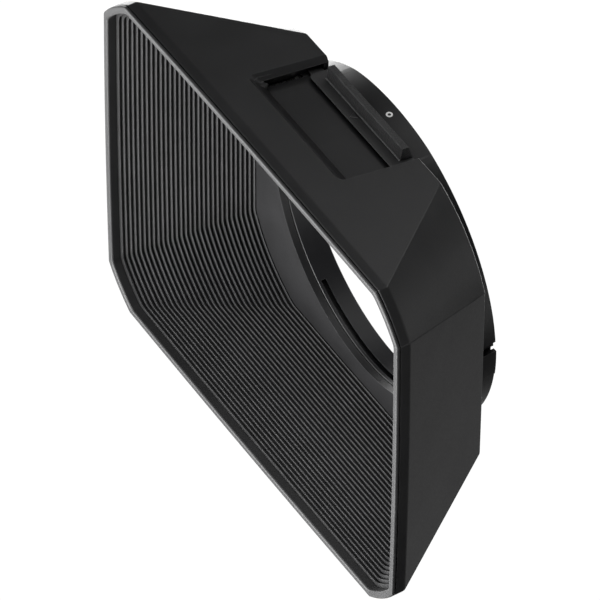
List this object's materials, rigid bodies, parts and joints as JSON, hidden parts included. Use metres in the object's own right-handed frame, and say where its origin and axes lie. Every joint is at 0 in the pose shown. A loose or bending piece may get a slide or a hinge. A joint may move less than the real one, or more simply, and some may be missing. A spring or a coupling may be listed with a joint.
{
  "type": "lens hood",
  "caption": "Rectangular bayonet lens hood with a ribbed inner liner, a sliding filter window and a sprung lock button.",
  "frame": {"origin": "middle of the hood's width and depth, at the height of the mouth's flat lower edge", "axes": "optical axis along Y with the mouth towards -Y and the bayonet towards +Y; +X is the side with the lock button; +Z is the side with the filter window"},
  "size_m": [0.1608, 0.0514, 0.1298],
  "materials": {
    "hood_plastic": "fine spark-eroded matte black",
    "liner_plastic": "flat black, ribbed against stray light",
    "collar_plastic": "fine matte black with a slight sheen",
    "ring_plastic": "smooth satin black",
    "door_plastic": "fine matte black",
    "grip_plastic": "matte black with a stippled front face",
    "button_plastic": "matte black",
    "screw_steel": "plain steel",
    "spring_steel": "bright spring wire and strip"
  },
  "bodies": {
    "hood": {"outer_shell": "hood_plastic", "baffle_liner": "liner_plastic", "mount_collar": "collar_plastic", "bayonet_ring": "ring_plastic", "collar_screw_1": "screw_steel", "collar_screw_2": "screw_steel", "collar_screw_3": "screw_steel", "collar_screw_4": "screw_steel", "collar_screw_5": "screw_steel", "collar_screw_6": "screw_steel", "detent_spring_left": "spring_steel", "detent_spring_right": "spring_steel", "lock_pin": "screw_steel", "lock_spring": "spring_steel", "lock_cover": "collar_plastic", "lock_cover_screw_1": "screw_steel", "lock_cover_screw_2": "screw_steel"},
    "door": {"window_door": "door_plastic", "door_grip": "grip_plastic", "grip_screw_left": "screw_steel", "grip_screw_right": "screw_steel"},
    "button": {"lock_button": "button_plastic"}
  },
  "joints": [
    {"name": "door_slide", "type": "slide", "parent": "hood", "child": "door", "axis": [0, -0.986, 0.1669], "range_m": [0, 0.0148]},
    {"name": "lock_press", "type": "hinge", "parent": "hood", "child": "button", "pos_m": [0.05415, 0.0193, 0.05969], "axis": [0, -1, 0], "range_deg": [0, 8], "stiffness_Nm_per_rad": 0.1, "springref_deg": -5.73, "deforming": ["lock_spring"]}
  ]
}
